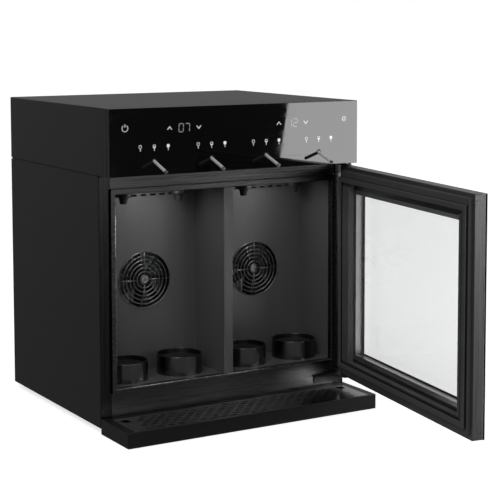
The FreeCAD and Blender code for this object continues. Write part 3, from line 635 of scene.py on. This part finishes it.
def lamp_mark():
    x, z = LAMP_PLACE
    parts = [stroke(arc_points(LAMP_PLACE, 0.0032, 0, 350, 24), closed=True)]
    for number in range(8):
        angle = math.radians(45 * number)
        ray = [(x + r * math.cos(angle), z + r * math.sin(angle)) for r in (0.0044, 0.0060)]
        parts.append(stroke(ray, 0.0007))
    place_mark("mark_lamp", parts)


def arrow_mark(name, x, rise):
    """An arrowhead at x; a negative rise points it down."""
    half, z = 0.0046, DISPLAY_Z
    tip = [(x - half, z - rise / 2), (x, z + rise / 2), (x + half, z - rise / 2)]
    place_mark(name, [stroke(tip, 0.0013)])


SEGMENTS = {
    "0": "abcdef",
    "1": "bc",
    "2": "abged",
    "7": "abc",
}


def digit(char, x, z, width=0.0090, height=0.0150):
    """Seven bars of one display digit, centred at x, z."""
    side, top = width / 2, height / 2
    gap = 0.0008
    bars = {
        "a": ((-side + gap, top), (side - gap, top)),
        "b": ((side, top - gap), (side, gap)),
        "c": ((side, -gap), (side, -top + gap)),
        "d": ((-side + gap, -top), (side - gap, -top)),
        "e": ((-side, -gap), (-side, -top + gap)),
        "f": ((-side, top - gap), (-side, gap)),
        "g": ((-side + gap, 0), (side - gap, 0)),
    }
    lean = 0.06
    parts = []
    for name in SEGMENTS[char]:
        start, end = bars[name]
        leaned = [(x + px + pz * lean, z + pz) for px, pz in (start, end)]
        parts.append(stroke(leaned, 0.0015))
    return parts


def display_marks():
    for name, x, text in DISPLAYS:
        parts = digit(text[0], x - DIGIT_OFFSET, DISPLAY_Z)
        parts += digit(text[1], x + DIGIT_OFFSET, DISPLAY_Z)
        place_mark("display_" + name, parts, DISPLAY_LIGHT)


def glass_outline(x, z, grown=0.0):
    """The bowl of a wine glass standing on its stem at z: narrower at the rim, round at the bottom."""
    wide, narrow = 0.0027 + grown, 0.0021 + grown
    bowl = [(x - narrow, z + 0.0056 + grown)]
    bowl += arc_points((x, z + 0.0028), wide, 180, 360, 16)
    bowl.append((x + narrow, z + 0.0056 + grown))
    return bowl


def serving_marks():
    """Three glasses beside each tube: a sip, half a glass and a full glass."""
    z = SERVING_Z
    thin = 0.0008
    for tube, tube_x in enumerate(TUBE_X, start=1):
        for amount, name in enumerate(("sip", "half", "full")):
            x = tube_x + (amount - 1) * SERVING_SPACING
            parts = [stroke([(x, z), (x, z - 0.0052)], 0.0010)]
            if name == "full":
                parts.append(plate(glass_outline(x, z, thin / 2)))
            else:
                parts.append(stroke(glass_outline(x, z), thin, closed=True))
            if name == "half":
                parts.append(plate(arc_points((x, z + 0.0028), 0.0024, 190, 350, 14)))
            place_mark("mark_%s_%d" % (name, tube), parts)


# ---------------------------------------------------------------- turned and swept pieces
def tube_pieces():
    """A ring at each tube's mouth and a flush bush where it leaves the glass."""
    downhill = Vector((0, -math.cos(TUBE_SLOPE), -math.sin(TUBE_SLOPE)))
    ring = [
        (TUBE_BORE, -0.0030),
        (TUBE_BORE, 0.0),
        (TUBE_BORE + 0.0002, 0.0002),
        (TUBE_RADIUS - 0.0001, 0.0002),
        (TUBE_RADIUS + 0.00015, -0.0001),
        (TUBE_RADIUS + 0.00015, -0.0030),
    ]
    bush = [
        (TUBE_RADIUS + 0.0003, -0.0030),
        (TUBE_RADIUS + 0.0003, 0.0001),
        (0.0041, 0.0002),
        (0.0045, 0.0),
        (0.0045, -0.0030),
    ]
    mouth_z = TUBE_ROOT_Z - TUBE_DROP
    for number, x in enumerate(TUBE_X, start=1):
        tip = Vector((x, TUBE_TIP_Y, mouth_z)) - downhill * MOUTH_SETBACK
        verts, faces = lathe(ring, tip, downhill, 40)
        mouth = mesh_object("tube_mouth_%d" % number, verts, faces, True)
        dress(mouth, TIP_STEEL)
        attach(mouth, "cabinet")
        verts, faces = lathe(bush, (x, GLASS_FACE, TUBE_ROOT_Z + BUSH_RAISE), (0, -1, 0), 40)
        plug = mesh_object("tube_bush_%d" % number, verts, faces, True)
        dress(plug, MATERIALS["bezel_plastic"])
        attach(plug, "cabinet")


def fan_guard_wires():
    """Round-wire guards: rings on four spokes, and a domed cap."""
    cap = [
        (0.0, 0.0016),
        (0.006, 0.0014),
        (0.0095, 0.0008),
        (0.0105, 0.0),
        (0.0105, -0.0004),
        (0.0, -0.0004),
    ]
    parts = []
    for sign in (-1, 1):
        centre = Vector((sign * FAN_X, GUARD_Y, FAN_Z))
        for ring in range(GUARD_RINGS):
            radius = GUARD_INNER_RING + ring * GUARD_RING_SPACING
            parts.append(torus(centre, (0, 1, 0), radius, GUARD_WIRE, 72, 10))
        for turn in range(4):
            angle = math.radians(90 * turn)
            out = Vector((math.cos(angle), 0, math.sin(angle)))
            back = Vector((0, WIRE_BEHIND, 0))
            parts.append(wire_run([centre + back + out * r for r in SPOKE_RADII], GUARD_WIRE))
        parts.append(lathe(cap, centre + Vector((0, -CAP_FORWARD, 0)), (0, -1, 0), 40))
    verts, faces = merged(parts)
    guards = mesh_object("fan_guard_wires", verts, faces, True)
    dress(guards, MATERIALS["guard_wire"])
    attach(guards, "cabinet")
    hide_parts("fan_guards")


def lifter_springs():
    """Round-wire springs on the floors of the cups."""
    for number in range(1, 5):
        low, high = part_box("lifter_spring_%d" % number)
        middle_x, middle_y = (low[0] + high[0]) / 2, (low[1] + high[1]) / 2
        bottom, rise = low[2] + SPRING_WIRE, high[2] - low[2] - 2 * SPRING_WIRE
        points = []
        for step in range(SPRING_STEPS + 1):
            angle = 2 * math.pi * SPRING_TURNS * step / SPRING_STEPS
            x = middle_x + SPRING_RADIUS * math.cos(angle)
            y = middle_y + SPRING_RADIUS * math.sin(angle)
            points.append((x, y, bottom + rise * step / SPRING_STEPS))
        verts, faces = wire_run(points, SPRING_WIRE)
        coil = mesh_object("spring_coil_%d" % number, verts, faces, True)
        dress(coil, MATERIALS["spring_wire"])
        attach(coil, "cabinet")
        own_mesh(coil)
        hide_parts("lifter_spring_%d" % number)


SEAL_BELLOWS = [
    (0.0000, 0.0000),
    (-0.0003, 0.0008),
    (0.0016, 0.0020),
    (0.0018, 0.0028),
    (0.0006, 0.0040),
    (0.0098, 0.0040),
    (0.0090, 0.0030),
    (0.0090, 0.0020),
    (0.0106, 0.0008),
    (0.0108, 0.0000),
]
SEAL_LIP = [
    (0.0002, 0.0041),
    (0.0002, 0.0058),
    (0.0010, 0.0065),
    (0.0095, 0.0065),
    (0.0104, 0.0058),
    (0.0104, 0.0041),
]


def gasket():
    """The door's seal, mitred at its corners: a dark bellows and the flat magnetic lip on it."""
    left, right = LIP_LOW[0] - SEAL_OVERLAP, LIP_HIGH[0] + SEAL_OVERLAP
    low, high = LIP_LOW[2] - SEAL_OVERLAP, LIP_HIGH[2] + SEAL_OVERLAP
    corners = [(left, low, 1, 1), (right, low, -1, 1), (right, high, -1, -1), (left, high, 1, -1)]
    for name, profile, material in (
        ("door_seal_bellows", SEAL_BELLOWS, "gasket_rubber"),
        ("door_seal_lip", SEAL_LIP, "door_plastic"),
    ):
        rings = []
        for x, z, inward_x, inward_z in corners:
            ring = [
                to_open_door((x + inward_x * inset, SEAL_BASE_Y + depth, z + inward_z * inset))
                for inset, depth in profile
            ]
            rings.append(ring)
        verts, faces = swept_loop(rings)
        seal = mesh_object(name, verts, faces)
        bevel = seal.modifiers.new("soft", "BEVEL")
        bevel.width = 0.00025
        bevel.segments = 2
        dress(seal, MATERIALS[material])
        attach(seal, "door")
        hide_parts("door_gasket")


def sheet_frame(edge, hole, y, thick, carry):
    """A thin flat frame facing the front. edge and hole are (x0, x1, z0, z1); carry moves each point."""
    verts = []
    for depth in (y, y + thick):
        for x0, x1, z0, z1 in (edge, hole):
            verts += [carry((x, depth, z)) for x, z in ((x0, z0), (x1, z0), (x1, z1), (x0, z1))]
    faces = []
    for side in range(4):
        after = (side + 1) % 4
        faces.append((side, after, 4 + after, 4 + side))
        faces.append((8 + side, 8 + after, 12 + after, 12 + side))
        faces.append((side, after, 8 + after, 8 + side))
        faces.append((4 + side, 4 + after, 12 + after, 12 + side))
    return verts, faces


def door_prints():
    """The black borders printed on the panes, on the sides that face each other."""
    for name, y, hole in PRINTS:
        verts, faces = sheet_frame(PANE, hole, y, PRINT_THICK, to_open_door)
        border = mesh_object(name, verts, faces)
        dress(border, GLASS_PRINT)
        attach(border, "door")


def opening_highlight_rod():
    """A bright steel rod along the left side and the bottom of the opening: a painted highlight for the light
    caught on the edge of the lip.
    """
    side = OPENING_SIDE + HIGHLIGHT_ROD_CLEAR
    low, high = OPENING_BOTTOM - HIGHLIGHT_ROD_CLEAR, OPENING_TOP + HIGHLIGHT_ROD_CLEAR
    y = LIP_LOW[1] + HIGHLIGHT_ROD_CLEAR
    corner = (-side, y, low)
    bottom = wire_run([corner, (side, y, low)], HIGHLIGHT_ROD_RADIUS, 8)
    upright = wire_run([(-side, y, high), corner], HIGHLIGHT_ROD_RADIUS, 8)
    verts, faces = merged([bottom, upright])
    highlight_rod = mesh_object("opening_highlight_rod", verts, faces, True)
    dress(highlight_rod, HIGHLIGHT_ROD_STEEL)
    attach(highlight_rod, "cabinet")


# ---------------------------------------------------------------- studio
def add_floor():
    verts = [(-30, -30, 0), (30, -30, 0), (30, 30, 0), (-30, 30, 0)]
    floor = mesh_object("studio_floor", verts, [(0, 1, 2, 3)])
    made = Recipe("studio_floor")
    tone = made.noise((2, 2, 2), 2.0)
    made.colour(made.ramp(tone, (0.2, (0.86, 0.86, 0.86)), (0.8, (0.88, 0.88, 0.88))))
    made.set(Roughness=0.9, Specular_IOR_Level=0.1, Emission_Color=(1, 1, 1, 1), Emission_Strength=0.72)
    dress(floor, made.material)
    floor.visible_glossy = False
    floor.visible_diffuse = False


def glow_material(name, strength):
    material = bpy.data.materials.new(name)
    material.use_nodes = True
    tree = material.node_tree
    tree.nodes.clear()
    light = tree.nodes.new("ShaderNodeEmission")
    light.inputs["Strength"].default_value = strength
    output = tree.nodes.new("ShaderNodeOutputMaterial")
    tree.links.new(light.outputs["Emission"], output.inputs["Surface"])
    return material


def add_card(name, corners, strength):
    """A studio card that only shows in gloss, as a softbox or a black flag does."""
    card = mesh_object(name, corners, [tuple(range(len(corners)))])
    dress(card, glow_material(name, strength))
    card.visible_camera = False
    card.visible_diffuse = False
    card.visible_shadow = False
    card.visible_transmission = False


def add_world():
    """A backdrop that is white to the eye and through glass.

    The light that it gives is dimmer, and dimmer still from low down.
    """
    world = bpy.data.worlds.new("studio")
    bpy.context.scene.world = world
    world.use_nodes = True
    tree = world.node_tree
    seen = tree.nodes["Background"]
    seen.inputs["Color"].default_value = (1.0, 1.0, 1.0, 1.0)
    seen.inputs["Strength"].default_value = 1.0
    given = tree.nodes.new("ShaderNodeBackground")
    path = tree.nodes.new("ShaderNodeLightPath")
    coords = tree.nodes.new("ShaderNodeTexCoord")
    parts = tree.nodes.new("ShaderNodeSeparateXYZ")
    ramp = tree.nodes.new("ShaderNodeMapRange")
    ramp.inputs["From Min"].default_value = -0.25
    ramp.inputs["From Max"].default_value = 0.35
    ramp.inputs["To Min"].default_value = 0.16
    ramp.inputs["To Max"].default_value = 0.46
    either = tree.nodes.new("ShaderNodeMath")
    either.operation = "MAXIMUM"
    mix = tree.nodes.new("ShaderNodeMixShader")
    output = tree.nodes["World Output"]
    for source, target in (
        (coords.outputs["Generated"], parts.inputs["Vector"]),
        (parts.outputs["Z"], ramp.inputs["Value"]),
        (ramp.outputs["Result"], given.inputs["Strength"]),
        (path.outputs["Is Camera Ray"], either.inputs[0]),
        (path.outputs["Is Transmission Ray"], either.inputs[1]),
        (either.outputs["Value"], mix.inputs["Fac"]),
        (given.outputs["Background"], mix.inputs[1]),
        (seen.outputs["Background"], mix.inputs[2]),
        (mix.outputs["Shader"], output.inputs["Surface"]),
    ):
        tree.links.new(source, target)


def wall_card(y, *corners):
    """Corners (x, z) of a card that stands across the view at y."""
    return [(x, y, z) for x, z in corners]


def add_lamp(name, place, aim, size, power):
    lamp = bpy.data.lights.new(name, "AREA")
    lamp.shape = "DISK"
    lamp.size = size
    lamp.energy = power
    holder = bpy.data.objects.new(name, lamp)
    holder.location = place
    holder.rotation_euler = (Vector(aim) - Vector(place)).to_track_quat("-Z", "Y").to_euler()
    bpy.context.scene.collection.objects.link(holder)


def add_lights():
    slanted = [(0.788, 0.349), (0.818, 0.525), (0.86, 0.75)]
    softbox = wall_card(-1.37, *slanted, (2.2, 0.75), (2.2, 0.1), (0.745, 0.1))
    flag = wall_card(-3.4, (-9.0, 0.002), (9.0, 0.002), (9.0, 2.6), (-9.0, 2.6))
    door_card = wall_card(-3.3, (0.55, 0.10), (1.10, 0.10), (1.10, 0.9), (0.55, 0.9))
    add_card("softbox_card", softbox, 7.5)
    add_card("black_flag", flag, 0.05)
    add_card("door_card", door_card, 3.6)
    add_lamp("key", (-2.2, -2.4, 3.2), LIGHT_AIM, 2.5, 45.0)
    add_lamp("fill", (2.6, -1.6, 2.4), LIGHT_AIM, 2.0, 14.0)
    for name, x in (("left", -FAN_X), ("right", FAN_X)):
        add_lamp("strip_light_" + name, (x, *STRIP_PLACE), (x, *STRIP_AIM), 0.05, 0.11)


def add_camera():
    camera = bpy.data.objects.new("camera", bpy.data.cameras.new("camera"))
    camera.location = CAMERA_PLACE
    camera.rotation_euler = (math.radians(90) - CAMERA_PITCH, 0, -CAMERA_YAW)
    camera.data.sensor_width = 36.0
    camera.data.lens = 107.11
    camera.data.shift_x = -0.05
    camera.data.shift_y = -0.20
    bpy.context.scene.collection.objects.link(camera)
    bpy.context.scene.camera = camera


dress_cad_nodes()
power_mark()
lamp_mark()
for side, middle, _ in DISPLAYS:
    arrow_mark("mark_up_" + side, middle - ARROW_OFFSET, 0.0056)
    arrow_mark("mark_down_" + side, middle + ARROW_OFFSET, -0.0056)
display_marks()
serving_marks()
tube_pieces()
fan_guard_wires()
lifter_springs()
gasket()
door_prints()
opening_highlight_rod()
add_floor()
add_world()
add_lights()
add_camera()
bpy.context.scene.view_settings.view_transform = "Standard"
